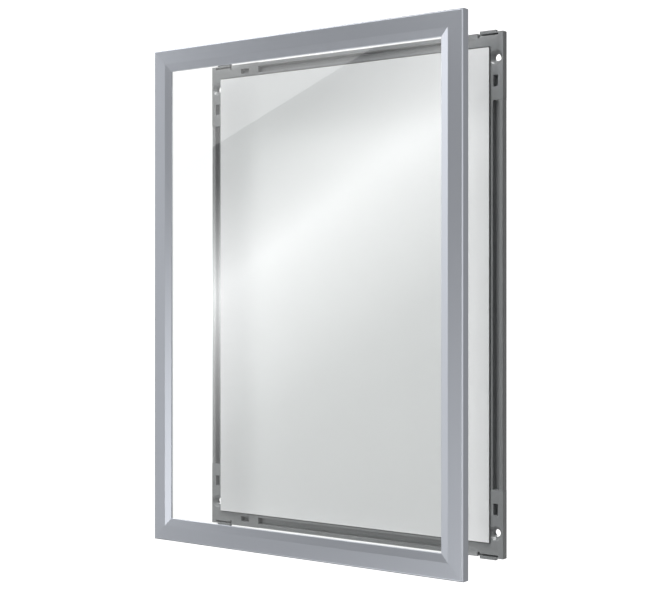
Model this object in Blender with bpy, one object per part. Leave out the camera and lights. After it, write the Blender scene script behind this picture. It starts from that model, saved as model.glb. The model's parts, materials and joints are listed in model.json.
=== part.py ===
"""Wall poster frame for an A3 sheet: a clip-on front frame with a clear cover, pulled off its rear tray.

Metres, +Z up. The origin is the middle of the face that lies against the wall; the front looks along -Y.
Depths called forward are measured from the wall towards the viewer. Depths called back are measured from
the front frame's face towards the wall. Insets are measured inward from the outer side of a rail.
"""
import math

import bmesh
import bpy
from mathutils import Matrix, Vector

# What the frame holds
PAPER_WIDTH = 0.297
PAPER_HEIGHT = 0.420
PAPER_THICK = 0.0004
BACKING_THICK = 0.0035
PANEL_THICK = 0.0024
COVER_THICK = 0.0012

# Clearances: the gap between pieces that touch, and the poster's play in its pocket
FIT = 0.0003
SIDE_PLAY = 0.0004
END_PLAY = 0.0009
OVERRUN = 0.002

# Section of the tray rails
TRAY_DEPTH = 0.0064
TRAY_FLOOR = 0.0012
RIM_WIDTH = 0.0042
RIM_EASE = 0.0004
GROOVE_WIDTH = 0.0057
GROOVE_EASE = 0.0008
POCKET_WALL = 0.0022
FOOT_WIDTH = 0.0050
FOOT_THICK = 0.0012
CHAMBER_WALL = 0.0009

# Corner mouldings of the tray
SLOT_ALONG = 0.0415
SLOT_FLOOR = 0.0012
CORNER_END = 0.0115
SPIGOT_LENGTH = 0.015
HOLE_ALONG = 0.0214
HOLE_RADIUS = 0.0031
DISH_RADIUS = 0.0062
DISH_DEPTH = 0.0032
TONGUE_START = 0.0070
TONGUE_LENGTH = 0.0155
TONGUE_THICK = 0.0011
TONGUE_PROUD = 0.0016
TONGUE_DEPTH = 0.0034
TONGUE_ROOT = 0.0022
RELIEF_HEIGHT = 0.0016
RELIEF_DEPTH = 0.0044
NOTCH_WIDTH = 0.0022
NOTCH_HEIGHT = 0.0040

# Section of the front rails
TRAY_INSET = 0.0055
POSTER_OVERLAP = 0.0028
BEVEL_WIDTH = 0.0070
BEVEL_DROP = 0.0014
LIP_THICK = 0.0017
FACE_THICK = 0.0015
FLANGE_DEPTH = 0.0090
FLANGE_THICK = 0.0018
EDGE_EASE = 0.0011
RIB_THICK = 0.0009
RIB_SLOPE = 0.0002
SNAP_RIB_SETBACK = 0.0006
RETAINER_HOLD = 0.0011
WEB_THICK = 0.0015

# Corner keys, their screws and the catches
KEY_THICK = 0.0032
KEY_END = 0.0100
SCREW_ALONG = 0.0300
SCREW_RADIUS = 0.0020
SCREW_SOCKET_RADIUS = 0.0011
SCREW_SOCKET_DEPTH = 0.0016
CATCH_LENGTH = 0.0088
CATCH_PLAY = 0.0005
CATCH_FOOT_WIDTH = 0.0092
CATCH_FOOT_THICK = 0.0009
CATCH_PEG_RADIUS = 0.0012
CATCH_PEG_LENGTH = 0.0025
CATCH_PEG_INSET = 0.0024
PRONG_THICK = 0.0030
PRONG_REACH = 0.0035
PRONG_SLIT = 0.0009
PRONG_SLIT_DEPTH = 0.0026
BARB_HEIGHT = 0.0003
BARB_LENGTH = 0.0014

# How far the front frame stands off its closed place
PULL_OFF = 0.0702

# Faces round a full turn, and the sharpest turn in degrees that is shaded smooth
ROUND_SIDES = 48
SMALL_ROUND_SIDES = 24
HEX_SIDES = 6
SMOOTH_TURN = 30
# Outlines are filled this many times larger, because the fill loses corners closer than about 0.3 mm
DRAWING_SCALE = 1000
# Points closer than this share of the fit are one point
WELD_SHARE = 0.01

# Tray sizes that follow
GROOVE_CENTRE = RIM_WIDTH + GROOVE_WIDTH / 2
POCKET_INSET = RIM_WIDTH + GROOVE_WIDTH + POCKET_WALL
TRAY_WIDTH = PAPER_WIDTH + 2 * (SIDE_PLAY + POCKET_INSET)
TRAY_HEIGHT = PAPER_HEIGHT + 2 * (END_PLAY + POCKET_INSET)
FOOT_BACK = PANEL_THICK + FIT
FOOT_FRONT = FOOT_BACK + FOOT_THICK
BACKING_BACK = FOOT_FRONT + FIT
PAPER_BACK = BACKING_BACK + BACKING_THICK + FIT
PAPER_FRONT = PAPER_BACK + PAPER_THICK
CATCH_BARB_WIDTH = PRONG_THICK + 2 * BARB_HEIGHT
SLOT_WIDTH = CATCH_BARB_WIDTH + 2 * CATCH_PLAY
SLOT_LENGTH = CATCH_LENGTH + 2 * CATCH_PLAY
CORNER_ARM = SLOT_ALONG + SLOT_LENGTH / 2 + CORNER_END
CHAMBER_TOP = TRAY_DEPTH - CHAMBER_WALL
CHAMBER_SIDE = RIM_WIDTH - CHAMBER_WALL

# Front frame sizes that follow
FRONT_WIDTH = TRAY_WIDTH + 2 * TRAY_INSET
FRONT_HEIGHT = TRAY_HEIGHT + 2 * TRAY_INSET
OPENING_INSET = TRAY_INSET + POCKET_INSET + SIDE_PLAY + POSTER_OVERLAP
FACE_WIDTH = OPENING_INSET - BEVEL_WIDTH
LIP_BACK = BEVEL_DROP + LIP_THICK
COVER_FRONT = LIP_BACK + FIT
RETAINER_FRONT = COVER_FRONT + COVER_THICK + FIT
RETAINER_INSET = TRAY_INSET + POCKET_INSET
WEB_INNER = RETAINER_INSET - RETAINER_HOLD
WEB_OUTER = WEB_INNER - WEB_THICK
COVER_INSET = WEB_INNER + FIT
RIB_REACH = TRAY_INSET - TONGUE_PROUD - FIT
KEY_FRONT = FACE_THICK + FIT
KEY_BACK = KEY_FRONT + KEY_THICK
KEY_RIB_FRONT = KEY_BACK + FIT
KEY_RIB_BACK = KEY_RIB_FRONT + RIB_THICK
SNAP_RIB_BACK = FLANGE_DEPTH - SNAP_RIB_SETBACK
SNAP_RIB_FRONT = SNAP_RIB_BACK - RIB_THICK
CATCH_INSET = TRAY_INSET + GROOVE_CENTRE
CATCH_ALONG = TRAY_INSET + SLOT_ALONG
KEY_ARM = CATCH_ALONG + CATCH_LENGTH / 2 + KEY_END
KEY_OUTER = FLANGE_THICK + FIT
KEY_INNER = WEB_OUTER - FIT
SCREW_INSET = (KEY_OUTER + KEY_INNER) / 2
FACE_FORWARD = PAPER_FRONT + FIT + COVER_THICK + FIT + LIP_BACK + PULL_OFF

# Each edge of the frame: its turn about Y, with its length along X and its outward side along +Z before it
EDGE_TURNS = {"top": 0, "right": 90, "bottom": 180, "left": 270}
# Each corner's turn about Y from the top right one
CORNER_TURNS = {"top_right": 0, "bottom_right": 90, "bottom_left": 180, "top_left": 270}

# Turns a flat outline (forward, outward) that was pushed along its own Z into a rail along X
RAIL_AXES = Matrix(((0, 0, -1, 0), (-1, 0, 0, 0), (0, 1, 0, 0), (0, 0, 0, 1)))
# Turns a flat outline (X, Z) that was pushed along its own Z into an upright plate
PLATE_AXES = Matrix.Rotation(math.radians(90), 4, "X")


def clear_scene():
    for obj in list(bpy.data.objects):
        bpy.data.objects.remove(obj, do_unlink=True)


def new_collection(name):
    collection = bpy.data.collections.new(name)
    bpy.context.scene.collection.children.link(collection)
    return collection


def finish_of(name, colour, metallic, roughness, alpha=1.0):
    material = bpy.data.materials.new(name)
    material.use_nodes = True
    shader = material.node_tree.nodes["Principled BSDF"]
    shader.inputs["Base Color"].default_value = (*colour, 1)
    shader.inputs["Metallic"].default_value = metallic
    shader.inputs["Roughness"].default_value = roughness
    shader.inputs["Alpha"].default_value = alpha
    material.diffuse_color = (*colour, alpha)
    return material


def front_aluminium(name):
    return finish_of(name, (0.30, 0.31, 0.34), 0.9, 0.38)


def tray_aluminium(name):
    return finish_of(name, (0.19, 0.19, 0.20), 0.7, 0.48)


def corner_plastic(name):
    return finish_of(name, (0.17, 0.17, 0.18), 0.0, 0.45)


def zinc(name):
    return finish_of(name, (0.45, 0.45, 0.47), 0.9, 0.40)


def screw_steel(name):
    return finish_of(name, (0.28, 0.28, 0.29), 1.0, 0.35)


def catch_plastic(name):
    return finish_of(name, (0.05, 0.05, 0.055), 0.0, 0.40)


def clear_acrylic(name):
    return finish_of(name, (0.92, 0.94, 0.95), 0.0, 0.06, alpha=0.25)


def panel_plastic(name):
    return finish_of(name, (0.42, 0.43, 0.44), 0.0, 0.60)


def backing_card(name):
    return finish_of(name, (0.16, 0.16, 0.17), 0.0, 0.85)


def white_paper(name):
    return finish_of(name, (0.83, 0.84, 0.84), 0.0, 0.55)


def new_object(name, mesh, collection, material):
    obj = bpy.data.objects.new(name, mesh)
    collection.objects.link(obj)
    if material is not None:
        mesh.materials.clear()
        mesh.materials.append(material(name + "_finish"))
    return obj


def baked_mesh(obj):
    """The object's mesh with its modifiers applied."""
    depsgraph = bpy.context.evaluated_depsgraph_get()
    return bpy.data.meshes.new_from_object(obj.evaluated_get(depsgraph), depsgraph=depsgraph)


def outline_mesh(outlines, length, axes):
    """A solid of one outline, with holes where more outlines follow, pushed evenly to both sides."""
    curve = bpy.data.curves.new("outline", "CURVE")
    curve.dimensions = "2D"
    curve.fill_mode = "BOTH"
    curve.extrude = DRAWING_SCALE * length / 2
    for outline in outlines:
        spline = curve.splines.new("POLY")
        spline.points.add(len(outline) - 1)
        for point, (u, v) in zip(spline.points, outline):
            point.co = (DRAWING_SCALE * u, DRAWING_SCALE * v, 0, 1)
        spline.use_cyclic_u = True
    holder = bpy.data.objects.new("outline", curve)
    bpy.context.scene.collection.objects.link(holder)
    mesh = baked_mesh(holder)
    bpy.data.objects.remove(holder, do_unlink=True)
    bpy.data.curves.remove(curve)
    shape = bmesh.new()
    shape.from_mesh(mesh)
    bmesh.ops.remove_doubles(shape, verts=shape.verts, dist=DRAWING_SCALE * FIT * WELD_SHARE)
    bmesh.ops.recalc_face_normals(shape, faces=shape.faces)
    shape.to_mesh(mesh)
    shape.free()
    mesh.transform(axes @ Matrix.Scale(1 / DRAWING_SCALE, 4))
    mesh.shade_flat()
    return mesh


def box_mesh(low, high):
    """A box between two corners."""
    shape = bmesh.new()
    bmesh.ops.create_cube(shape, size=1)
    size = Vector(high) - Vector(low)
    middle = (Vector(high) + Vector(low)) / 2
    bmesh.ops.transform(shape, matrix=Matrix.Translation(middle) @ Matrix.Diagonal((*size, 1)), verts=shape.verts)
    mesh = bpy.data.meshes.new("box")
    shape.to_mesh(mesh)
    shape.free()
    return mesh


def round_mesh(back_radius, front_radius, back, front, sides):
    """A cylinder or cone on the Y axis, from one forward depth to a larger one."""
    shape = bmesh.new()
    turn = Matrix.Translation((0, -(back + front) / 2, 0)) @ Matrix.Rotation(math.radians(90), 4, "X")
    bmesh.ops.create_cone(shape, cap_ends=True, segments=sides, radius1=back_radius, radius2=front_radius,
                          depth=front - back, matrix=turn)
    mesh = bpy.data.meshes.new("round")
    shape.to_mesh(mesh)
    shape.free()
    return mesh


def moved(mesh, offset):
    mesh.transform(Matrix.Translation(offset))
    return mesh


def combined_mesh(name, start, steps, cutters):
    """The start mesh with each step's mesh cut away or joined on."""
    obj = new_object(name, start, cutters, None)
    for number, (operation, mesh) in enumerate(steps):
        tool = new_object(f"{name}_{operation.lower()}_{number}", mesh, cutters, None)
        tool.hide_render = True
        tool.display_type = "WIRE"
        modifier = obj.modifiers.new(operation, "BOOLEAN")
        modifier.operation = operation
        modifier.object = tool
    mesh = baked_mesh(obj)
    bpy.data.objects.remove(obj, do_unlink=True)
    return mesh


def smooth(mesh):
    mesh.shade_smooth()
    mesh.set_sharp_from_angle(angle=math.radians(SMOOTH_TURN))
    return mesh


def turned(obj, degrees):
    obj.rotation_euler = (0, math.radians(degrees), 0)
    return obj


def half_sizes(turn, width, height):
    """Half the frame's size along X and along Z, as they lie before a turn about Y."""
    return (width / 2, height / 2) if turn % 180 == 0 else (height / 2, width / 2)


def tray_rail_section(reach):
    """The tray rail's outline as (forward, outward), and its hollow chamber."""
    def at(forward, inset):
        return forward, reach - inset
    outline = [
        at(0, 0),
        at(TRAY_DEPTH - RIM_EASE, 0),
        at(TRAY_DEPTH, RIM_EASE),
        at(TRAY_DEPTH, RIM_WIDTH - GROOVE_EASE),
        at(TRAY_DEPTH - GROOVE_EASE, RIM_WIDTH),
        at(TRAY_FLOOR, RIM_WIDTH),
        at(TRAY_FLOOR, RIM_WIDTH + GROOVE_WIDTH),
        at(TRAY_DEPTH, RIM_WIDTH + GROOVE_WIDTH),
        at(TRAY_DEPTH, POCKET_INSET),
        at(FOOT_FRONT, POCKET_INSET),
        at(FOOT_FRONT, POCKET_INSET + FOOT_WIDTH),
        at(FOOT_BACK, POCKET_INSET + FOOT_WIDTH),
        at(FOOT_BACK, POCKET_INSET),
        at(0, POCKET_INSET),
    ]
    chamber = [
        at(CHAMBER_WALL, CHAMBER_WALL),
        at(CHAMBER_WALL, CHAMBER_SIDE),
        at(CHAMBER_TOP, CHAMBER_SIDE),
        at(CHAMBER_TOP, CHAMBER_WALL),
    ]
    return [outline, chamber]


def make_tray_rails(collection, parent):
    for name, turn in EDGE_TURNS.items():
        half_length, reach = half_sizes(turn, TRAY_WIDTH, TRAY_HEIGHT)
        length = 2 * (half_length - CORNER_ARM - FIT)
        mesh = outline_mesh(tray_rail_section(reach), length, RAIL_AXES)
        rail = new_object("tray_rail_" + name, mesh, collection, tray_aluminium)
        turned(rail, turn).parent = parent


def corner_outline(start, stop, end):
    """An L along the outer sides, from one inset to another, both arms ending at the same distance."""
    return [(-start, -start), (-end, -start), (-end, -stop), (-stop, -stop), (-stop, -end), (-start, -end)]


def corner_plate(start, stop, end, back, front):
    mesh = outline_mesh([corner_outline(start, stop, end)], front - back, PLATE_AXES)
    return moved(mesh, (0, -(back + front) / 2, 0))


def corner_box(along, inset, back, front):
    """A box on the arm along the top, given as (near, far) pairs of distances from the corner point."""
    return box_mesh((-along[1], -front, -inset[1]), (-along[0], -back, -inset[0]))


def upright(mesh):
    """Moves a shape from the corner's top arm to its side arm."""
    mesh.transform(Matrix(((0, 0, 1, 0), (0, 1, 0, 0), (1, 0, 0, 0), (0, 0, 0, 1))))
    mesh.flip_normals()
    return mesh


def tray_corner_mesh(cutters):
    """The top right corner moulding, with the corner point of its outer sides at the origin."""
    slot_along = (SLOT_ALONG - SLOT_LENGTH / 2, SLOT_ALONG + SLOT_LENGTH / 2)
    slot_inset = (GROOVE_CENTRE - SLOT_WIDTH / 2, GROOVE_CENTRE + SLOT_WIDTH / 2)
    spigot_along = (CORNER_ARM - OVERRUN, CORNER_ARM + SPIGOT_LENGTH)
    spigot_inset = (CHAMBER_WALL + FIT, CHAMBER_SIDE - FIT)
    front = TRAY_DEPTH + OVERRUN
    tongue_end = TONGUE_START + TONGUE_LENGTH
    relief_along = (TONGUE_START - TONGUE_ROOT, tongue_end + NOTCH_WIDTH)
    hole_place = (-GROOVE_CENTRE, 0, -HOLE_ALONG)
    dish_back = TRAY_DEPTH - DISH_DEPTH
    dish_slope = (DISH_RADIUS - HOLE_RADIUS) / DISH_DEPTH
    steps = [
        ("UNION", corner_plate(POCKET_INSET - OVERRUN, POCKET_INSET + FOOT_WIDTH, CORNER_ARM,
                               FOOT_BACK, FOOT_FRONT)),
        ("UNION", corner_box(spigot_along, spigot_inset, CHAMBER_WALL + FIT, CHAMBER_TOP - FIT)),
        ("UNION", upright(corner_box(spigot_along, spigot_inset, CHAMBER_WALL + FIT, CHAMBER_TOP - FIT))),
        ("UNION", corner_box((TONGUE_START, tongue_end), (-TONGUE_PROUD, TONGUE_THICK),
                             TRAY_DEPTH - TONGUE_DEPTH, TRAY_DEPTH)),
        ("DIFFERENCE", corner_box(slot_along, slot_inset, SLOT_FLOOR, front)),
        ("DIFFERENCE", upright(corner_box(slot_along, slot_inset, SLOT_FLOOR, front))),
        ("DIFFERENCE", corner_box(relief_along, (TONGUE_THICK, TONGUE_THICK + RELIEF_HEIGHT),
                                  TRAY_DEPTH - RELIEF_DEPTH, front)),
        ("DIFFERENCE", corner_box((tongue_end, tongue_end + NOTCH_WIDTH), (-OVERRUN, NOTCH_HEIGHT),
                                  TRAY_DEPTH - RELIEF_DEPTH, front)),
        ("DIFFERENCE", moved(round_mesh(HOLE_RADIUS, HOLE_RADIUS, -OVERRUN, front, ROUND_SIDES), hole_place)),
        ("DIFFERENCE", moved(round_mesh(HOLE_RADIUS, DISH_RADIUS + OVERRUN * dish_slope, dish_back, front,
                                        ROUND_SIDES), hole_place)),
    ]
    return smooth(combined_mesh("tray_corner", corner_plate(0, POCKET_INSET, CORNER_ARM, 0, TRAY_DEPTH),
                                steps, cutters))


def mirrored(mesh):
    """The left-hand copy of a right-hand corner."""
    copy = mesh.copy()
    copy.transform(Matrix.Diagonal((-1, 1, 1, 1)))
    copy.flip_normals()
    return copy


def make_tray_corners(collection, cutters, parent):
    right = tray_corner_mesh(cutters)
    left = mirrored(right)
    places = {
        "top_right": (right.copy(), 0, 1, 1),
        "bottom_left": (right.copy(), 180, -1, -1),
        "top_left": (left.copy(), 0, -1, 1),
        "bottom_right": (left.copy(), 180, 1, -1),
    }
    for name, (mesh, turn, side, level) in places.items():
        corner = new_object("tray_corner_" + name, mesh, collection, corner_plastic)
        corner.location = (side * TRAY_WIDTH / 2, 0, level * TRAY_HEIGHT / 2)
        turned(corner, turn).parent = parent


def make_boards(collection, parent):
    pocket_x = TRAY_WIDTH / 2 - POCKET_INSET
    pocket_z = TRAY_HEIGHT / 2 - POCKET_INSET
    boards = [
        ("back_panel", pocket_x - FIT, pocket_z - FIT, 0, PANEL_THICK, panel_plastic),
        ("backing_board", PAPER_WIDTH / 2, PAPER_HEIGHT / 2, BACKING_BACK, BACKING_BACK + BACKING_THICK,
         backing_card),
        ("poster_sheet", PAPER_WIDTH / 2, PAPER_HEIGHT / 2, PAPER_BACK, PAPER_FRONT, white_paper),
    ]
    for name, half_x, half_z, back, front, material in boards:
        mesh = box_mesh((-half_x, -front, -half_z), (half_x, -back, half_z))
        new_object(name, mesh, collection, material).parent = parent


def front_rail_section(reach):
    """The front rail's outline as (forward, outward); forward is negative, behind the face."""
    def at(back, inset):
        return -back, reach - inset
    return [[
        at(0, EDGE_EASE),
        at(EDGE_EASE, 0),
        at(FLANGE_DEPTH, 0),
        at(FLANGE_DEPTH, FLANGE_THICK),
        at(SNAP_RIB_BACK, FLANGE_THICK),
        at(SNAP_RIB_BACK - RIB_SLOPE, RIB_REACH),
        at(SNAP_RIB_FRONT + RIB_SLOPE, RIB_REACH),
        at(SNAP_RIB_FRONT, FLANGE_THICK),
        at(KEY_RIB_BACK, FLANGE_THICK),
        at(KEY_RIB_BACK, RIB_REACH),
        at(KEY_RIB_FRONT, RIB_REACH),
        at(KEY_RIB_FRONT, FLANGE_THICK),
        at(FACE_THICK, FLANGE_THICK),
        at(FACE_THICK, WEB_OUTER),
        at(KEY_RIB_BACK, WEB_OUTER),
        at(KEY_RIB_BACK, RETAINER_INSET),
        at(RETAINER_FRONT, RETAINER_INSET),
        at(RETAINER_FRONT, WEB_INNER),
        at(LIP_BACK, WEB_INNER),
        at(LIP_BACK, OPENING_INSET),
        at(BEVEL_DROP, OPENING_INSET),
        at(0, FACE_WIDTH),
    ]]


def mitre(mesh, half_length, reach):
    """Steps the ends in by each point's distance from the outer side, for a 45 degree joint."""
    for vertex in mesh.vertices:
        inset = reach - vertex.co.z
        end = half_length - inset - FIT / 2
        vertex.co.x = math.copysign(end, vertex.co.x)
    mesh.update()
    return mesh


def make_front_rails(collection, parent):
    for name, turn in EDGE_TURNS.items():
        half_length, reach = half_sizes(turn, FRONT_WIDTH, FRONT_HEIGHT)
        mesh = outline_mesh(front_rail_section(reach), 2 * half_length, RAIL_AXES)
        rail = new_object("front_rail_" + name, mitre(mesh, half_length, reach), collection, front_aluminium)
        turned(rail, turn).parent = parent


def corner_key_mesh(cutters):
    """The top right key, with the corner point of the front frame's outer sides at the origin."""
    hole_radius = SCREW_RADIUS + FIT
    peg_radius = CATCH_PEG_RADIUS + FIT
    peg_inset = CATCH_INSET - CATCH_FOOT_WIDTH + PRONG_THICK / 2 + CATCH_PEG_INSET
    steps = []
    for along, inset, radius in ((SCREW_ALONG, SCREW_INSET, hole_radius), (CATCH_ALONG, peg_inset, peg_radius)):
        for x, z in ((-along, -inset), (-inset, -along)):
            hole = round_mesh(radius, radius, -KEY_BACK - OVERRUN, -KEY_FRONT + OVERRUN, SMALL_ROUND_SIDES)
            steps.append(("DIFFERENCE", moved(hole, (x, 0, z))))
    start = corner_plate(KEY_OUTER, KEY_INNER, KEY_ARM, -KEY_BACK, -KEY_FRONT)
    return smooth(combined_mesh("corner_key", start, steps, cutters))


def make_corner_keys(collection, cutters, parent):
    key = corner_key_mesh(cutters)
    for name, turn in CORNER_TURNS.items():
        half_x, half_z = half_sizes(turn, FRONT_WIDTH, FRONT_HEIGHT)
        mesh = moved(key.copy(), (half_x, 0, half_z))
        turned(new_object("corner_key_" + name, mesh, collection, zinc), turn).parent = parent


def key_screw_mesh(cutters):
    """A set screw with a hexagonal socket, on the Y axis, its depths measured from the front face."""
    body = round_mesh(SCREW_RADIUS, SCREW_RADIUS, -KEY_BACK, -KEY_FRONT, SMALL_ROUND_SIDES)
    socket = round_mesh(SCREW_SOCKET_RADIUS, SCREW_SOCKET_RADIUS, -KEY_BACK - OVERRUN,
                        -KEY_BACK + SCREW_SOCKET_DEPTH, HEX_SIDES)
    return smooth(combined_mesh("key_screw", body, [("DIFFERENCE", socket)], cutters))


def catch_mesh(cutters):
    """A split prong on a foot, with a peg for the key; its place is the prong's middle on the key's back."""
    half_prong = PRONG_THICK / 2
    half_slit = PRONG_SLIT / 2
    barb = half_prong + BARB_HEIGHT
    half_tip = half_prong - BARB_HEIGHT
    foot_back = -CATCH_FOOT_THICK
    tip = foot_back - PRONG_REACH
    slit_end = tip + PRONG_SLIT_DEPTH
    outline = [
        (0, -half_prong),
        (0, CATCH_FOOT_WIDTH - half_prong),
        (foot_back, CATCH_FOOT_WIDTH - half_prong),
        (foot_back, half_prong),
        (tip + BARB_LENGTH, half_prong),
        (tip + BARB_LENGTH / 2, barb),
        (tip, half_tip),
        (tip, half_slit),
        (slit_end, half_slit),
        (slit_end, -half_slit),
        (tip, -half_slit),
        (tip, -half_tip),
        (tip + BARB_LENGTH / 2, -barb),
        (tip + BARB_LENGTH, -half_prong),
    ]
    body = outline_mesh([outline], CATCH_LENGTH, RAIL_AXES)
    peg = round_mesh(CATCH_PEG_RADIUS, CATCH_PEG_RADIUS, -CATCH_FOOT_THICK / 2, CATCH_PEG_LENGTH,
                     SMALL_ROUND_SIDES)
    peg_outward = CATCH_FOOT_WIDTH - half_prong - CATCH_PEG_INSET
    return smooth(combined_mesh("catch", body, [("UNION", moved(peg, (0, 0, peg_outward)))], cutters))


def make_along_edges(label, mesh, along, inset, back, material, collection, parent):
    """Two copies on each edge, the same distance from both of its ends."""
    for name, turn in EDGE_TURNS.items():
        half_length, reach = half_sizes(turn, FRONT_WIDTH, FRONT_HEIGHT)
        for hand, end in (("start", -1), ("end", 1)):
            copy = moved(mesh.copy(), (end * (half_length - along), back, reach - inset))
            piece = new_object(f"{label}_{name}_{hand}", copy, collection, material)
            turned(piece, turn).parent = parent


def make_clear_cover(collection, parent):
    half_x = FRONT_WIDTH / 2 - COVER_INSET
    half_z = FRONT_HEIGHT / 2 - COVER_INSET
    mesh = box_mesh((-half_x, COVER_FRONT, -half_z), (half_x, COVER_FRONT + COVER_THICK, half_z))
    new_object("clear_cover", mesh, collection, clear_acrylic).parent = parent


def main():
    clear_scene()
    parts = new_collection("poster_frame")
    cutters = new_collection("cutters")

    tray = bpy.data.objects.new("tray_place", None)
    parts.objects.link(tray)
    front = bpy.data.objects.new("front_place", None)
    front.location = (0, -FACE_FORWARD, 0)
    parts.objects.link(front)

    make_tray_rails(parts, tray)
    make_tray_corners(parts, cutters, tray)
    make_boards(parts, tray)

    make_front_rails(parts, front)
    make_corner_keys(parts, cutters, front)
    make_along_edges("key_screw", key_screw_mesh(cutters), SCREW_ALONG, SCREW_INSET, 0, screw_steel,
                     parts, front)
    make_along_edges("catch", catch_mesh(cutters), CATCH_ALONG, CATCH_INSET, KEY_BACK + FIT, catch_plastic,
                     parts, front)
    make_clear_cover(parts, front)


main()
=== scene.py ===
import json
import math

import bmesh
import bpy
from mathutils import Matrix, Vector

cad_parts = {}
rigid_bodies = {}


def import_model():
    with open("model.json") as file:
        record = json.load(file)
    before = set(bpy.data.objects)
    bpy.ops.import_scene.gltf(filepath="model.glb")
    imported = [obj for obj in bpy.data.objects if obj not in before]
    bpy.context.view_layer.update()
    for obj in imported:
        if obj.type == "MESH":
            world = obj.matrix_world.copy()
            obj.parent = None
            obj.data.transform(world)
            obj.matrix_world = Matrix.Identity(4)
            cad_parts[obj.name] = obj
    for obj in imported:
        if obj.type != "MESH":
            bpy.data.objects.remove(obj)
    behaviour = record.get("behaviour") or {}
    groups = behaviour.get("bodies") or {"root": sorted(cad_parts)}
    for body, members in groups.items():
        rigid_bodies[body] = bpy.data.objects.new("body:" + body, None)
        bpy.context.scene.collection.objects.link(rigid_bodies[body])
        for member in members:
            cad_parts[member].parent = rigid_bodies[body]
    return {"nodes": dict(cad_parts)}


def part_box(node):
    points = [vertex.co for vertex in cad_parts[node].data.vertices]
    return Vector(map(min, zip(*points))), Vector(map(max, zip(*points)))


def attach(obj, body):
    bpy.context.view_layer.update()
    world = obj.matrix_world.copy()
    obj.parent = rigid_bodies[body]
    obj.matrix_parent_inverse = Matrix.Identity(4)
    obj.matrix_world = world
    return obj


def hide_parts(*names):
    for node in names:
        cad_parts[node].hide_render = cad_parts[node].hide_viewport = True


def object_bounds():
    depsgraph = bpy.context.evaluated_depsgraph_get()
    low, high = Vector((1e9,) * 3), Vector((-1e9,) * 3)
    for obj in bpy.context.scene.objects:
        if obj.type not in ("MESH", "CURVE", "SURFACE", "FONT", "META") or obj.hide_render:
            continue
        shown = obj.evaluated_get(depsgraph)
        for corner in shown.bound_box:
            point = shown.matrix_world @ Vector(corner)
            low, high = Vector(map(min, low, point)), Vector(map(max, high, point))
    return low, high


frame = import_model()
cadLow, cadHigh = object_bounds()
nodes = frame["nodes"]

runsAlong = {"top": 0, "right": 2, "bottom": 0, "left": 2}  # the axis each rail lies along
turnOf = {"top": 0, "right": 90, "bottom": 180, "left": 270}  # degrees about Y from the top edge
cornerNames = ["top_right", "top_left", "bottom_right", "bottom_left"]
edgeEnds = [edge + "_" + end for edge in runsAlong for end in ("start", "end")]
upright = math.radians(90)      # about X: turns what faces down to face the wall
print("frame loaded with", len(nodes), "nodes")


# Node helpers

noiseSpan = (0.3, 0.7)          # nearly all of a noise's values lie between these


def addNode(tree, kind, inputs=None, **settings):
    node = tree.nodes.new(kind)
    for key, value in settings.items():
        setattr(node, key, value)
    for key, value in (inputs or {}).items():
        node.inputs[key].default_value = value
    return node


def principled(name, colour, roughness, metallic=0.0):
    material = bpy.data.materials.new(name)
    material.use_nodes = True
    tree = material.node_tree
    shader = tree.nodes["Principled BSDF"]
    shader.inputs["Base Color"].default_value = (*colour, 1)
    shader.inputs["Roughness"].default_value = roughness
    shader.inputs["Metallic"].default_value = metallic
    return material, tree, shader


# Noise over the piece, with its own number of grains to the metre along each axis
def objectNoise(tree, scale, detail, roughness=0.5):
    place = addNode(tree, "ShaderNodeTexCoord")
    mapping = addNode(tree, "ShaderNodeMapping", {"Scale": scale})
    noise = addNode(tree, "ShaderNodeTexNoise", {"Scale": 1.0, "Detail": detail, "Roughness": roughness})
    tree.links.new(place.outputs["Object"], mapping.inputs["Vector"])
    tree.links.new(mapping.outputs["Vector"], noise.inputs["Vector"])
    return noise.outputs["Fac"]


def ranged(tree, value, low, high, span=noiseSpan):
    spread = addNode(tree, "ShaderNodeMapRange", {"From Min": span[0], "From Max": span[1], "To Min": low,
                                                  "To Max": high})
    tree.links.new(value, spread.inputs["Value"])
    return spread.outputs["Result"]


# Base colour that drifts between a darker and a lighter share of itself
def tinted(tree, value, shader, colour, darker, lighter):
    ramp = addNode(tree, "ShaderNodeValToRGB")
    for stop, position, share in zip(ramp.color_ramp.elements, noiseSpan, (darker, lighter)):
        stop.position = position
        stop.color = (*[c * share for c in colour], 1)
    tree.links.new(value, ramp.inputs["Fac"])
    tree.links.new(ramp.outputs["Color"], shader.inputs["Base Color"])


def bumped(tree, value, shader, strength, distance):
    bump = addNode(tree, "ShaderNodeBump", {"Strength": strength, "Distance": distance})
    tree.links.new(value, bump.inputs["Height"])
    tree.links.new(bump.outputs["Normal"], shader.inputs["Normal"])


def grainScale(axis, along, across):
    return tuple(along if i == axis else across for i in range(3))


# Shape helpers

largeFace = 0.00001             # square metres: a face over this stays flat, with no shade across it
roundProfile = 0.5              # a bevel that is part of a circle


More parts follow.
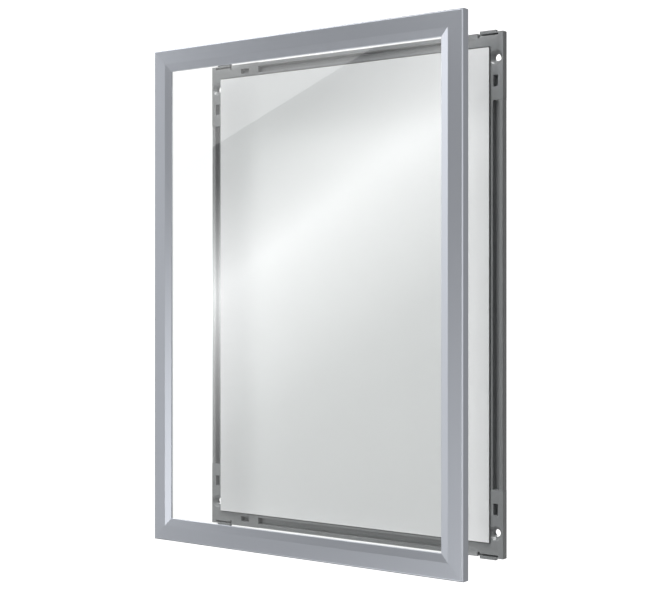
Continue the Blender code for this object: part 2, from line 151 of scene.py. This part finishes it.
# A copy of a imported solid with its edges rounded. A rail is rounded along its length only and can be drawn
# out at both ends, so that its seams close up
def softenedMesh(nodeName, edge, axis=None, stretch=0.0):
    mesh = nodes[nodeName].data.copy()
    mesh.materials.clear()
    shape = bmesh.new()
    shape.from_mesh(mesh)
    bmesh.ops.remove_doubles(shape, verts=shape.verts, dist=edge["weld"])
    bmesh.ops.dissolve_limit(shape, angle_limit=math.radians(edge["flat"]), verts=shape.verts,
                             edges=shape.edges)
    if axis is not None:
        for vert in shape.verts:
            vert.co[axis] += math.copysign(stretch, vert.co[axis])
    chosen = []
    for line in shape.edges:
        if len(line.link_faces) != 2 or line.calc_face_angle() < math.radians(edge["sharp"]):
            continue
        along = (line.verts[1].co - line.verts[0].co).normalized()
        if axis is None or abs(along[axis]) > edge["lengthwise"]:
            chosen.append(line)
    rounded = bmesh.ops.bevel(shape, geom=chosen, offset=edge["radius"], segments=edge["segments"],
                              profile=roundProfile, affect="EDGES", clamp_overlap=True)["faces"]
    for face in shape.faces:
        face.smooth = axis is None and face.calc_area() < largeFace
    for face in rounded:
        face.smooth = True
    shape.to_mesh(mesh)
    shape.free()
    if axis is None:
        mesh.set_sharp_from_angle(angle=math.radians(edge["sharp"]))
    return mesh


def addPiece(name, mesh, material, body, replaced):
    mesh.materials.clear()
    mesh.materials.append(material)
    piece = bpy.data.objects.new(name, mesh)
    bpy.context.scene.collection.objects.link(piece)
    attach(piece, body)
    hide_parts(*replaced)


# Camera, where the photograph was taken from

viewpoint = {"place": (0.70568, -1.0155, 0.0), "turn": 35.669, "lens": 73.605, "sensor": 36.0}


def addCamera():
    data = bpy.data.cameras.new("camera")
    data.lens = viewpoint["lens"]
    data.sensor_width = viewpoint["sensor"]
    data.sensor_fit = "HORIZONTAL"
    camera = bpy.data.objects.new("camera", data)
    camera.location = viewpoint["place"]
    camera.rotation_euler = (upright, 0, math.radians(viewpoint["turn"]))
    bpy.context.scene.collection.objects.link(camera)
    bpy.context.scene.camera = camera


addCamera()


# Front rails: satin anodised extrusions with the grain along them

frontRail = {
    "colour": (0.420, 0.440, 0.480),
    "roughness": (0.28, 0.295),
    "anisotropy": 0.6,
    "grain": (25, 2600),                # grains to the metre, along and across
    "streaks": (2.5, 700),
    "detail": 2.0,
    "streakShade": (0.994, 1.006),      # darkest and lightest share of the colour
    "grainBump": (0.2, 0.000004),       # strength and depth
    # radius of the rounding; sharp: edges over this many degrees get it; flat: faces within this many are
    # joined first; weld: points this close are merged; lengthwise: how nearly an edge must follow the rail
    "edge": {"radius": 0.0003, "segments": 3, "sharp": 20, "flat": 0.5, "weld": 0.000002,
             "lengthwise": 0.999},
    "drawnOut": 0.00013,                # added at each end
}


# Turns the stretched highlight across the grain, in the plane of each face
def brushedAlong(tree, axis, shader):
    surface = addNode(tree, "ShaderNodeNewGeometry")
    lay = addNode(tree, "ShaderNodeVectorMath", operation="CROSS_PRODUCT")
    lay.inputs[1].default_value = [1.0 if i == axis else 0.0 for i in range(3)]
    tree.links.new(surface.outputs["True Normal"], lay.inputs[0])
    tree.links.new(lay.outputs["Vector"], shader.inputs["Tangent"])


def frontAluminium(axis):
    look = frontRail
    material, tree, shader = principled("frontAluminium" + "XYZ"[axis], look["colour"],
                                        look["roughness"][0], metallic=1.0)
    shader.inputs["Anisotropic"].default_value = look["anisotropy"]
    streaks = objectNoise(tree, grainScale(axis, *look["streaks"]), look["detail"])
    grain = objectNoise(tree, grainScale(axis, *look["grain"]), look["detail"])
    tinted(tree, streaks, shader, look["colour"], *look["streakShade"])
    tree.links.new(ranged(tree, grain, *look["roughness"]), shader.inputs["Roughness"])
    bumped(tree, grain, shader, *look["grainBump"])
    brushedAlong(tree, axis, shader)
    return material


def makeFrontRails():
    metal = {axis: frontAluminium(axis) for axis in set(runsAlong.values())}
    for edge, axis in runsAlong.items():
        node = "front_rail_" + edge
        mesh = softenedMesh(node, frontRail["edge"], axis, frontRail["drawnOut"])
        addPiece("frontRail_" + edge, mesh, metal[axis], "front_frame", [node])


makeFrontRails()
print("front rails")


# Tray rails and corner mouldings: the same grey, satin on the rails and finely grained on the mouldings

tray = {
    "railColour": (0.225, 0.232, 0.235),
    "railRoughness": (0.30, 0.38),
    "railMetal": 0.1,
    "shine": 0.45,
    "railGrain": (20, 2400),
    "railStreaks": (3, 500),
    "railDetail": 2.0,
    "railShade": (0.94, 1.06),
    "railBump": (0.2, 0.00003),
    "railEdge": {"radius": 0.0003, "segments": 2, "sharp": 20, "flat": 0.5, "weld": 0.000002,
                 "lengthwise": 0.999},
    "railDrawnOut": 0.00022,
    "cornerColour": (0.205, 0.212, 0.215),
    "cornerRoughness": (0.20, 0.25),
    "cornerGrain": {"scale": (2600, 2600, 2600), "detail": 4.0},
    "cornerDrift": {"scale": (60, 60, 60), "detail": 2.0},
    "cornerShade": (0.96, 1.04),
    "cornerBump": (0.3, 0.00004),
    "cornerEdge": {"radius": 0.00022, "segments": 2, "sharp": 24, "flat": 0.5, "weld": 0.000002},
}


def trayAluminium(axis):
    material, tree, shader = principled("trayAluminium" + "XYZ"[axis], tray["railColour"],
                                        tray["railRoughness"][0], tray["railMetal"])
    shader.inputs["Specular IOR Level"].default_value = tray["shine"]
    streaks = objectNoise(tree, grainScale(axis, *tray["railStreaks"]), tray["railDetail"])
    grain = objectNoise(tree, grainScale(axis, *tray["railGrain"]), tray["railDetail"])
    tinted(tree, streaks, shader, tray["railColour"], *tray["railShade"])
    tree.links.new(ranged(tree, grain, *tray["railRoughness"]), shader.inputs["Roughness"])
    bumped(tree, grain, shader, *tray["railBump"])
    return material


def cornerPlastic():
    material, tree, shader = principled("cornerPlastic", tray["cornerColour"], tray["cornerRoughness"][0])
    shader.inputs["Specular IOR Level"].default_value = tray["shine"]
    grain = objectNoise(tree, **tray["cornerGrain"])
    drift = objectNoise(tree, **tray["cornerDrift"])
    tinted(tree, drift, shader, tray["cornerColour"], *tray["cornerShade"])
    tree.links.new(ranged(tree, grain, *tray["cornerRoughness"]), shader.inputs["Roughness"])
    bumped(tree, grain, shader, *tray["cornerBump"])
    return material


def makeTray():
    metal = {axis: trayAluminium(axis) for axis in set(runsAlong.values())}
    for edge, axis in runsAlong.items():
        node = "tray_rail_" + edge
        mesh = softenedMesh(node, tray["railEdge"], axis, tray["railDrawnOut"])
        addPiece("trayRail_" + edge, mesh, metal[axis], "tray", [node])
    plastic = cornerPlastic()
    for corner in cornerNames:
        node = "tray_corner_" + corner
        mesh = softenedMesh(node, tray["cornerEdge"])
        addPiece("trayCorner_" + corner, mesh, plastic, "tray", [node])


makeTray()
print("tray rails and corners")


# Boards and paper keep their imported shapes

boards = {
    "poster_sheet": {"colour": (0.80, 0.805, 0.81), "roughness": 0.62, "grain": (900, 900, 900),
                     "shade": (0.995, 1.005), "bump": (0.3, 0.00001)},
    "backing_board": {"colour": (0.24, 0.24, 0.245), "roughness": 0.85, "grain": (350, 2200, 350),
                      "shade": (0.85, 1.12), "bump": (0.3, 0.00008)},
    "back_panel": {"colour": (0.50, 0.505, 0.51), "roughness": 0.55, "grain": (1400, 1400, 1400),
                   "shade": (0.97, 1.03), "bump": (0.3, 0.00005)},
}
fibres = {"detail": 5.0, "roughness": 0.6}


def boardMaterial(node, look):
    material, tree, shader = principled(node + "Finish", look["colour"], look["roughness"])
    grain = objectNoise(tree, look["grain"], **fibres)
    tinted(tree, grain, shader, look["colour"], *look["shade"])
    bumped(tree, grain, shader, *look["bump"])
    return material


def finishNode(node, material):
    nodes[node].material_slots[0].material = material


for node, look in boards.items():
    finishNode(node, boardMaterial(node, look))
print("boards and poster")


# Clear cover: a thin polished sheet that lets lamps through

cover = {"passes": (0.905, 0.911, 0.908), "index": 1.49, "roughness": 0.02}


# The front face mirrors and tints, the back face only tints
def coverMaterial():
    material = bpy.data.materials.new("clearSheet")
    material.use_nodes = True
    tree = material.node_tree
    tree.nodes.remove(tree.nodes["Principled BSDF"])
    passes = addNode(tree, "ShaderNodeBsdfTransparent", {"Color": (*cover["passes"], 1)})
    mirror = addNode(tree, "ShaderNodeBsdfAnisotropic", {"Color": (1, 1, 1, 1),
                                                        "Roughness": cover["roughness"]})
    gloss = addNode(tree, "ShaderNodeFresnel", {"IOR": cover["index"]})
    surface = addNode(tree, "ShaderNodeNewGeometry")
    fromFront = addNode(tree, "ShaderNodeMapRange", {"To Min": 1.0, "To Max": 0.0})
    share = addNode(tree, "ShaderNodeMath", operation="MULTIPLY")
    mix = addNode(tree, "ShaderNodeMixShader")
    tree.links.new(surface.outputs["Backfacing"], fromFront.inputs["Value"])
    tree.links.new(gloss.outputs["Fac"], share.inputs[0])
    tree.links.new(fromFront.outputs["Result"], share.inputs[1])
    tree.links.new(share.outputs["Value"], mix.inputs["Fac"])
    tree.links.new(passes.outputs["BSDF"], mix.inputs[1])
    tree.links.new(mirror.outputs["BSDF"], mix.inputs[2])
    tree.links.new(mix.outputs["Shader"], tree.nodes["Material Output"].inputs["Surface"])
    return material


finishNode("clear_cover", coverMaterial())
print("clear cover")


# Corner keys: die-cast zinc, slightly pitted

key = {
    "colour": (0.40, 0.40, 0.415),
    "roughness": (0.38, 0.52),
    "metallic": 0.9,
    "pits": {"scale": (700, 700, 700), "detail": 4.0, "roughness": 0.7},
    "shade": (0.85, 1.08),
    "bump": (0.35, 0.00008),
    "edge": {"radius": 0.0002, "segments": 2, "sharp": 24, "flat": 0.5, "weld": 0.000002},
}


def castZinc():
    material, tree, shader = principled("castZinc", key["colour"], key["roughness"][0], key["metallic"])
    pits = objectNoise(tree, **key["pits"])
    tinted(tree, pits, shader, key["colour"], *key["shade"])
    tree.links.new(ranged(tree, pits, *key["roughness"]), shader.inputs["Roughness"])
    bumped(tree, pits, shader, *key["bump"])
    return material


def makeKeys():
    zinc = castZinc()
    for corner in cornerNames:
        node = "corner_key_" + corner
        addPiece("cornerKey_" + corner, softenedMesh(node, key["edge"]), zinc, "front_frame",
                 [node])


makeKeys()
print("corner keys")


# Geometry Nodes: copies of one small part on a list of places

def placesMesh(places, turns):
    mesh = bpy.data.meshes.new("places")
    mesh.from_pydata([tuple(place) for place in places], [], [])
    turn = mesh.attributes.new("turn", "FLOAT", "POINT")
    turn.data.foreach_set("value", [math.radians(value) for value in turns])
    return mesh


def newGeometryTree(name, sizes):
    tree = bpy.data.node_groups.new(name, "GeometryNodeTree")
    tree.is_modifier = True
    tree.interface.new_socket("Places", in_out="INPUT", socket_type="NodeSocketGeometry")
    for label in sizes:
        tree.interface.new_socket(label, in_out="INPUT", socket_type="NodeSocketFloat")
    tree.interface.new_socket("Pieces", in_out="OUTPUT", socket_type="NodeSocketGeometry")
    return tree, addNode(tree, "NodeGroupInput"), addNode(tree, "NodeGroupOutput")


# Puts the instance on every place with that place's turn about Y, and makes it real
def endTree(tree, source, instance, output, material):
    turn = addNode(tree, "GeometryNodeInputNamedAttribute", {"Name": "turn"}, data_type="FLOAT")
    spin = addNode(tree, "ShaderNodeCombineXYZ")
    spread = addNode(tree, "GeometryNodeInstanceOnPoints")
    real = addNode(tree, "GeometryNodeRealizeInstances")
    paint = addNode(tree, "GeometryNodeSetMaterial", {"Material": material})
    tree.links.new(turn.outputs["Attribute"], spin.inputs["Y"])
    tree.links.new(spin.outputs["Vector"], spread.inputs["Rotation"])
    tree.links.new(source.outputs["Places"], spread.inputs["Points"])
    tree.links.new(instance, spread.inputs["Instance"])
    tree.links.new(spread.outputs["Instances"], real.inputs["Geometry"])
    tree.links.new(real.outputs["Geometry"], paint.inputs["Geometry"])
    tree.links.new(paint.outputs["Geometry"], output.inputs["Pieces"])


# The mesh that a tree grows on its places, with the modifier applied
def grownMesh(mesh, tree, sizes):
    holder = bpy.data.objects.new("holder", mesh)
    bpy.context.scene.collection.objects.link(holder)
    modifier = holder.modifiers.new("grow", "NODES")
    modifier.node_group = tree
    for item in tree.interface.items_tree:
        if item.in_out == "INPUT" and item.name in sizes:
            modifier[item.identifier] = sizes[item.name]
    depsgraph = bpy.context.evaluated_depsgraph_get()
    grown = bpy.data.meshes.new_from_object(holder.evaluated_get(depsgraph), depsgraph=depsgraph)
    holder.modifiers.remove(modifier)
    bpy.data.objects.remove(holder, do_unlink=True)
    return grown


def middleOf(node):
    low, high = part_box(node)
    return (low + high) / 2


# Key screws: socket set screws sunk in the keys

keyScrew = {
    "colour": (0.16, 0.16, 0.165),
    "roughness": (0.28, 0.42),
    "wear": {"scale": (1500, 1500, 1500), "detail": 4.0},
    "shade": (0.8, 1.25),
    "sides": 32,
    "socketSides": 6,
    "socket": 0.0011,                   # radius of the cutter
    "depth": 0.0032,                    # its length, half of which sinks in
}


def screwSteel():
    material, tree, shader = principled("screwSteel", keyScrew["colour"], keyScrew["roughness"][0],
                                        metallic=1.0)
    wear = objectNoise(tree, **keyScrew["wear"])
    tinted(tree, wear, shader, keyScrew["colour"], *keyScrew["shade"])
    tree.links.new(ranged(tree, wear, *keyScrew["roughness"]), shader.inputs["Roughness"])
    return material


def screwTree(material):
    tree, source, output = newGeometryTree("keyScrews", ["Radius", "Length", "Socket", "Depth"])
    body = addNode(tree, "GeometryNodeMeshCylinder", {"Vertices": keyScrew["sides"]})
    hexagon = addNode(tree, "GeometryNodeMeshCylinder", {"Vertices": keyScrew["socketSides"]})
    sink = addNode(tree, "ShaderNodeCombineXYZ")
    half = addNode(tree, "ShaderNodeMath", {1: 0.5}, operation="MULTIPLY")
    lowered = addNode(tree, "GeometryNodeTransform")
    cut = addNode(tree, "GeometryNodeMeshBoolean", operation="DIFFERENCE")
    laid = addNode(tree, "GeometryNodeTransform", {"Rotation": (-upright, 0, 0)})
    tree.links.new(source.outputs["Radius"], body.inputs["Radius"])
    tree.links.new(source.outputs["Length"], body.inputs["Depth"])
    tree.links.new(source.outputs["Socket"], hexagon.inputs["Radius"])
    tree.links.new(source.outputs["Depth"], hexagon.inputs["Depth"])
    tree.links.new(source.outputs["Length"], half.inputs[0])
    tree.links.new(half.outputs["Value"], sink.inputs["Z"])
    tree.links.new(hexagon.outputs["Mesh"], lowered.inputs["Geometry"])
    tree.links.new(sink.outputs["Vector"], lowered.inputs["Translation"])
    tree.links.new(body.outputs["Mesh"], cut.inputs["Mesh 1"])
    tree.links.new(lowered.outputs["Geometry"], cut.inputs["Mesh 2"])
    tree.links.new(cut.outputs["Mesh"], laid.inputs["Geometry"])
    endTree(tree, source, laid.outputs["Geometry"], output, material)
    return tree


def makeScrews():
    steel = screwSteel()
    screws = ["key_screw_" + end for end in edgeEnds]
    low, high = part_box(screws[0])
    sizes = {"Radius": (high.x - low.x) / 2, "Length": high.y - low.y, "Socket": keyScrew["socket"],
             "Depth": keyScrew["depth"]}
    places = placesMesh([middleOf(node) for node in screws], [0] * len(screws))
    mesh = grownMesh(places, screwTree(steel), sizes)
    addPiece("keyScrews", mesh, steel, "front_frame", screws)


makeScrews()


# Catches: split prongs of dark nylon behind the front rails

catch = {
    "colour": (0.020, 0.020, 0.022),
    "roughness": (0.30, 0.42),
    "grain": {"scale": (1800, 1800, 1800), "detail": 3.0},
    "shade": (0.8, 1.3),
    "bump": (0.2, 0.00003),
    "edge": {"radius": 0.00015, "segments": 2, "sharp": 24, "flat": 0.5, "weld": 0.000002},
}


def catchNylon():
    material, tree, shader = principled("catchNylon", catch["colour"], catch["roughness"][0])
    grain = objectNoise(tree, **catch["grain"])
    tinted(tree, grain, shader, catch["colour"], *catch["shade"])
    tree.links.new(ranged(tree, grain, *catch["roughness"]), shader.inputs["Roughness"])
    bumped(tree, grain, shader, *catch["bump"])
    return material


def catchTree(holder, material):
    tree, source, output = newGeometryTree("catches", [])
    part = addNode(tree, "GeometryNodeObjectInfo", {"Object": holder})
    endTree(tree, source, part.outputs["Geometry"], output, material)
    return tree


def makeCatches():
    nylon = catchNylon()
    catches = ["catch_" + end for end in edgeEnds]
    first = softenedMesh(catches[0], catch["edge"])
    first.transform(Matrix.Translation(-middleOf(catches[0])))
    holder = bpy.data.objects.new("oneCatch", first)
    bpy.context.scene.collection.objects.link(holder)
    turns = [turnOf[node.split("_")[1]] for node in catches]
    places = placesMesh([middleOf(node) for node in catches], turns)
    mesh = grownMesh(places, catchTree(holder, nylon), {})
    bpy.data.objects.remove(holder, do_unlink=True)
    addPiece("catches", mesh, nylon, "front_frame", catches)


makeCatches()
print("screws and catches")


# Floor, well below a frame that hangs on a wall

floor = {
    "drop": 0.35,                       # below the frame
    "half": 12.0,
    "colour": (0.90, 0.90, 0.90),
    "roughness": 0.8,
    "fade": (0.5, 1.6),                 # turns to plain white between these distances from the middle
    "white": 1.22,
}


def floorMaterial():
    material, tree, shader = principled("paleFloor", floor["colour"], floor["roughness"])
    place = addNode(tree, "ShaderNodeTexCoord")
    reach = addNode(tree, "ShaderNodeVectorMath", operation="LENGTH")
    white = addNode(tree, "ShaderNodeEmission", {"Strength": floor["white"]})
    rays = addNode(tree, "ShaderNodeLightPath")
    seen = addNode(tree, "ShaderNodeMath", operation="MAXIMUM")
    share = addNode(tree, "ShaderNodeMath", operation="MULTIPLY")
    mix = addNode(tree, "ShaderNodeMixShader")
    tree.links.new(place.outputs["Object"], reach.inputs[0])
    tree.links.new(rays.outputs["Is Camera Ray"], seen.inputs[0])
    tree.links.new(rays.outputs["Is Transmission Ray"], seen.inputs[1])
    tree.links.new(seen.outputs["Value"], share.inputs[0])
    tree.links.new(ranged(tree, reach.outputs["Value"], 0.0, 1.0, floor["fade"]), share.inputs[1])
    tree.links.new(share.outputs["Value"], mix.inputs["Fac"])
    tree.links.new(shader.outputs["BSDF"], mix.inputs[1])
    tree.links.new(white.outputs["Emission"], mix.inputs[2])
    tree.links.new(mix.outputs["Shader"], tree.nodes["Material Output"].inputs["Surface"])
    return material


def addPlane(name, material, corners):
    mesh = bpy.data.meshes.new(name)
    mesh.from_pydata(corners, [], [tuple(range(len(corners)))])
    mesh.materials.append(material)
    plane = bpy.data.objects.new(name, mesh)
    bpy.context.scene.collection.objects.link(plane)
    return plane


def addFloor():
    half = floor["half"]
    ground = addPlane("floor", floorMaterial(), [(-half, -half, 0), (half, -half, 0), (half, half, 0),
                                                 (-half, half, 0)])
    ground.location = (0, 0, cadLow.z - floor["drop"])
    ground.visible_glossy = False


addFloor()


# World: white behind everything; what the metal mirrors is paler, with soft panels of light in it

sky = {
    "background": 1.22,                 # seen directly and through the cover
    "ambient": 0.07,                    # light from all round
    "mirrored": 0.25,                   # between the panels
    # azimuth from the front, + to the right; height; reach, all in degrees; strength
    "panels": {
        "left": (-78, 31, 39, 3.4),
        "facing": (-60, -2.5, 24, 1.27),
        "middle": (-7, -9.5, 16.2, 3.9),
        "below": (-25, -44, 33, 3.4),
        "above": (0, 47, 43, 3.4),
        "right": (62, 0, 28, 1.5),
        "behind": (165, 10, 95, 0.32),
    },
}


def towards(azimuth, height):
    a, h = math.radians(azimuth), math.radians(height)
    return math.sin(a) * math.cos(h), -math.cos(a) * math.cos(h), math.sin(h)


def addWorld():
    world = bpy.data.worlds.new("studio")
    bpy.context.scene.world = world
    world.use_nodes = True
    tree = world.node_tree
    background = tree.nodes["Background"]
    background.inputs["Color"].default_value = (1, 1, 1, 1)
    rays = addNode(tree, "ShaderNodeLightPath")
    seen = addNode(tree, "ShaderNodeMath", operation="MAXIMUM")
    tree.links.new(rays.outputs["Is Camera Ray"], seen.inputs[0])
    tree.links.new(rays.outputs["Is Transmission Ray"], seen.inputs[1])
    look = addNode(tree, "ShaderNodeTexCoord")
    total = None
    for azimuth, height, reach, strength in sky["panels"].values():
        facing = addNode(tree, "ShaderNodeVectorMath", operation="DOT_PRODUCT")
        facing.inputs[1].default_value = towards(azimuth, height)
        rise = {"From Min": math.cos(math.radians(reach)), "From Max": 1.0, "To Min": 0.0, "To Max": strength}
        glow = addNode(tree, "ShaderNodeMapRange", rise, interpolation_type="SMOOTHSTEP")
        level = addNode(tree, "ShaderNodeMath", {0: sky["mirrored"]}, operation="ADD")
        tree.links.new(look.outputs["Generated"], facing.inputs[0])
        tree.links.new(facing.outputs["Value"], glow.inputs["Value"])
        tree.links.new(glow.outputs["Result"], level.inputs[1])
        if total is not None:
            tree.links.new(total.outputs["Value"], level.inputs[0])
        total = level
    mirrored = addNode(tree, "ShaderNodeMapRange", {"To Min": sky["ambient"]})
    level = addNode(tree, "ShaderNodeMapRange", {"To Max": sky["background"]})
    tree.links.new(total.outputs["Value"], mirrored.inputs["To Max"])
    tree.links.new(rays.outputs["Is Glossy Ray"], mirrored.inputs["Value"])
    tree.links.new(seen.outputs["Value"], level.inputs["Value"])
    tree.links.new(mirrored.outputs["Result"], level.inputs["To Min"])
    tree.links.new(level.outputs["Result"], background.inputs["Strength"])


addWorld()


# Lamps: azimuth from the front, + to the right; height; distance; width; power in watts. The key lamp
# stays out of the mirrored world, where the soft panels stand for it. A lamp with pieces lights these alone

lamps = {
    "key": {"from": (-12, 22), "distance": 2.5, "size": 2.2, "power": 57, "mirrored": False},
    "top": {"from": (0, 75), "distance": 1.6, "size": 0.9, "power": 8, "mirrored": True},
    "dish": {"from": (14, 74), "distance": 1.6, "size": 0.6, "power": 11, "mirrored": True,
             "pieces": "trayCorner_top"},
    "lowDish": {"from": (14, 69), "distance": 1.22, "size": 0.6, "power": 24, "mirrored": True,
                "pieces": "trayCorner_bottom"},
    "rear": {"from": (-150, 28), "distance": 1.9, "size": 1.2, "power": 45, "mirrored": True},
}


def areaLamp(name, width, height, power):
    data = bpy.data.lights.new(name, "AREA")
    data.shape = "RECTANGLE"
    data.size, data.size_y = width, height
    data.energy = power
    lamp = bpy.data.objects.new(name, data)
    lamp.visible_camera = False
    bpy.context.scene.collection.objects.link(lamp)
    return lamp


def lightOnly(lamp, pieces):
    chosen = bpy.data.collections.new(lamp.name + "Lights")
    for piece in pieces:
        chosen.objects.link(piece)
    lamp.light_linking.receiver_collection = chosen


def addLamps():
    for name, look in lamps.items():
        lamp = areaLamp(name, look["size"], look["size"], look["power"])
        direction = Vector(towards(*look["from"]))
        lamp.location = direction * look["distance"]
        lamp.rotation_euler = (-direction).to_track_quat("-Z", "Y").to_euler()
        lamp.visible_glossy = look["mirrored"]
        if "pieces" in look:
            lightOnly(lamp, [piece for piece in bpy.data.objects if piece.name.startswith(look["pieces"])])


addLamps()


# A small soft lamp close to the tray's left rail, and for it alone: the highlight halfway up
railGlow = {"at": (-0.115, -0.060, 0.0), "size": 0.03, "power": 0.155, "pieces": "trayRail_left"}


def addRailGlow():
    lamp = areaLamp("railGlow", railGlow["size"], railGlow["size"], railGlow["power"])
    lamp.location = railGlow["at"]
    lamp.rotation_euler = (upright, 0, 0)
    lamp.visible_glossy = False
    lightOnly(lamp, [bpy.data.objects[railGlow["pieces"]]])


addRailGlow()


# Panels that light the clear cover alone: each is placed by the line in which its mirror image crosses
# the cover. Its sizes and its profile are given on the cover

glare = {
    "width": 2.4,
    # through: a point of the line, in x and z; slope in degrees; away: distance from the cover, as a share of
    # the camera's; below, above: reach on each side of the line; profile: place, and share of the radiance
    "panels": {
        "band": {"through": (-0.0858, 0.0045), "slope": 31.0, "away": 1.0, "below": 0.45, "above": 0.40,
                 "radiance": 8.0, "profile": [(-0.45, 0.05), (-0.25, 0.08), (-0.16, 0.12), (-0.12, 0.22),
                                              (-0.05, 0.65), (0.0, 1.0), (0.03, 0.62), (0.06, 0.32),
                                              (0.085, 0.10), (0.14, 0.02), (0.40, 0.02)]},
        "corner": {"through": (-0.0965, 0.1350), "slope": 22.2, "away": 0.9, "below": 0.0, "above": 0.25,
                   "radiance": 2.7, "profile": [(0.0, 1.0), (0.25, 1.0)]},
    },
}


# Light that changes across the panel, from its lower edge to its upper one
def profiled(data, look):
    data.use_nodes = True
    tall = look["below"] + look["above"]
    profile = [((offset + look["below"]) / tall, share) for offset, share in look["profile"]]
    tree = data.node_tree
    surface = addNode(tree, "ShaderNodeNewGeometry")
    split = addNode(tree, "ShaderNodeSeparateXYZ")
    ramp = addNode(tree, "ShaderNodeValToRGB")
    stops = ramp.color_ramp.elements
    stops[0].position, stops[1].position = profile[0][0], profile[-1][0]
    for position, share in profile[1:-1]:
        stops.new(position)
    for stop, (position, share) in zip(stops, profile):
        stop.color = (share, share, share, 1)
    tree.links.new(surface.outputs["Parametric"], split.inputs["Vector"])
    tree.links.new(split.outputs["Y"], ramp.inputs["Fac"])
    tree.links.new(ramp.outputs["Color"], tree.nodes["Emission"].inputs["Color"])


def addGlare(name, look):
    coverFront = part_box("clear_cover")[0].y
    eye = Vector(viewpoint["place"])
    grow = 1 + look["away"]
    tall = look["below"] + look["above"]
    width, height = glare["width"] * grow, tall * grow
    x, z = look["through"]
    middle = Vector((x * grow - eye.x * look["away"], coverFront + (eye.y - coverFront) * look["away"],
                     z * grow))
    lamp = areaLamp(name, width, height, look["radiance"] * math.pi * width * height)
    lift = grow * (look["above"] - look["below"]) / 2
    lamp.matrix_world = (Matrix.Translation(middle) @ Matrix.Rotation(upright, 4, "X")
                         @ Matrix.Rotation(math.radians(look["slope"]), 4, "Z")
                         @ Matrix.Translation((0, lift, 0)))
    profiled(lamp.data, look)
    lightOnly(lamp, [nodes["clear_cover"]])


def addGlares():
    for name, look in glare["panels"].items():
        addGlare(name, look)


addGlares()
print("floor, world and lamps")

bpy.context.scene.view_settings.view_transform = "Standard"
